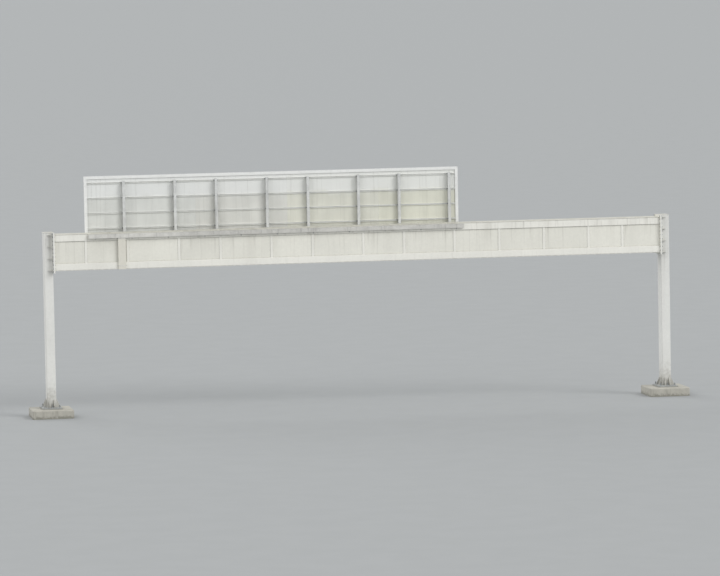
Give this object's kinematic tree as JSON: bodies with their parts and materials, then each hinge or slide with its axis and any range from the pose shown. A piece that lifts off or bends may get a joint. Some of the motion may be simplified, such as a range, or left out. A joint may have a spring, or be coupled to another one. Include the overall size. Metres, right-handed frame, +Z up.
{
  "type": "overhead sign gantry",
  "caption": "Steel portal of two box posts and a closed beam over a carriageway, with a long road sign on upright supports that stands above its front face.",
  "frame": {"origin": "on the ground, midway between the two posts, on the beam's centre plane", "axes": "+X along the beam, +Y towards the face of the sign, +Z up"},
  "size_m": [27.01, 1.7, 9.6],
  "materials": {
    "beam_paint": "satin",
    "panel_paint": "satin",
    "post_paint": "satin",
    "galvanised_steel": "galvanised, dull",
    "sign_sheet": "dull, weathered",
    "sign_rail": "mill finish, weathered",
    "concrete": "cast concrete"
  },
  "bodies": {
    "root": {"left_plinth": "concrete", "left_base_plate": "galvanised_steel", "left_base_gussets": "post_paint", "left_post": "post_paint", "left_post_cap": "post_paint", "left_head_plate": "post_paint", "left_end_plate": "beam_paint", "right_plinth": "concrete", "right_base_plate": "galvanised_steel", "right_base_gussets": "post_paint", "right_post": "post_paint", "right_post_cap": "post_paint", "right_head_plate": "post_paint", "right_end_plate": "beam_paint", "rear_bottom_chord": "beam_paint", "rear_top_chord": "beam_paint", "rear_uprights": "beam_paint", "rear_panels": "panel_paint", "front_bottom_chord": "beam_paint", "front_top_chord": "beam_paint", "front_uprights": "beam_paint", "front_panels": "panel_paint", "beam_floor": "beam_paint", "beam_deck": "beam_paint", "packing_plates": "galvanised_steel", "sign_support_1": "galvanised_steel", "sign_support_2": "galvanised_steel", "sign_support_3": "galvanised_steel", "sign_support_4": "galvanised_steel", "sign_support_5": "galvanised_steel", "sign_support_6": "galvanised_steel", "sign_support_7": "galvanised_steel", "sign_support_8": "galvanised_steel", "sign_rail_1": "sign_rail", "sign_rail_2": "sign_rail", "sign_rail_3": "sign_rail", "sign_rail_4": "sign_rail", "sign_rail_5": "sign_rail", "sign_sheet_1": "sign_sheet", "sign_sheet_2": "sign_sheet", "sign_sheet_3": "sign_sheet", "sign_sheet_4": "sign_sheet", "sign_edge_trim": "sign_rail", "cable_trunking": "galvanised_steel", "cable_duct": "beam_paint"}
  },
  "joints": []
}
